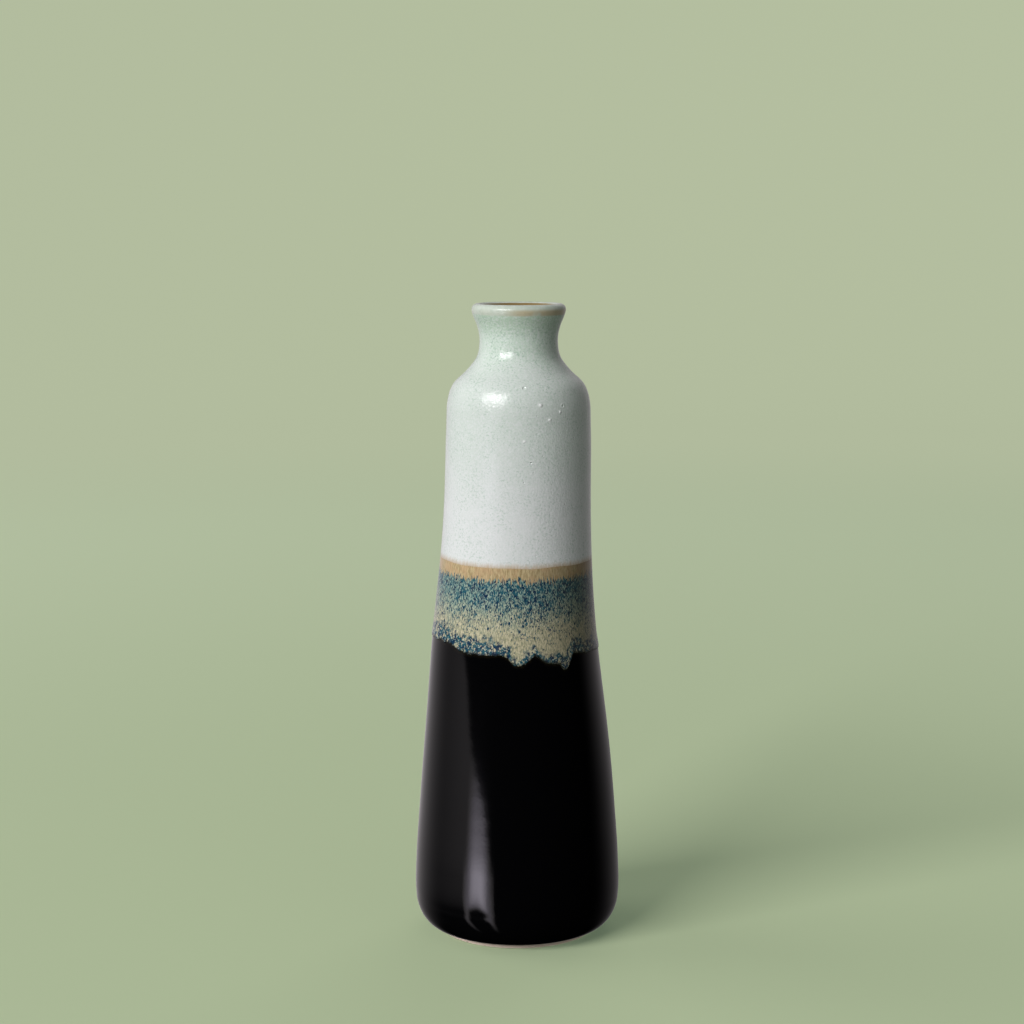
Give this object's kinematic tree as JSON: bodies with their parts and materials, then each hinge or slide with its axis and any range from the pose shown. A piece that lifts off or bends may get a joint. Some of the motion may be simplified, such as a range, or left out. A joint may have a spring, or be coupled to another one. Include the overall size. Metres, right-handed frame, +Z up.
{
  "type": "bud vase",
  "caption": "Tall glazed stoneware bud vase with a narrow flared neck, a pale upper glaze, a speckled band and a glossy black lower body; holds a cut flower stem.",
  "frame": {"origin": "on the vase's axis, in the plane of the foot ring's resting face", "axes": "+Z up along the vase's axis, -Y towards the vase's front, +X to its right as seen from the front"},
  "size_m": [0.0584, 0.0584, 0.18],
  "materials": {
    "stoneware": "matte bare clay",
    "liner_glaze": "glossy honey brown",
    "mint_glaze": "glossy pale mint, finely speckled",
    "band_glaze": "glossy, ochre and cream with blue needles",
    "black_glaze": "glossy black"
  },
  "bodies": {
    "root": {"stoneware_body": "stoneware", "liner_glaze": "liner_glaze", "mint_glaze": "mint_glaze", "band_glaze": "band_glaze", "black_glaze": "black_glaze"}
  },
  "joints": []
}
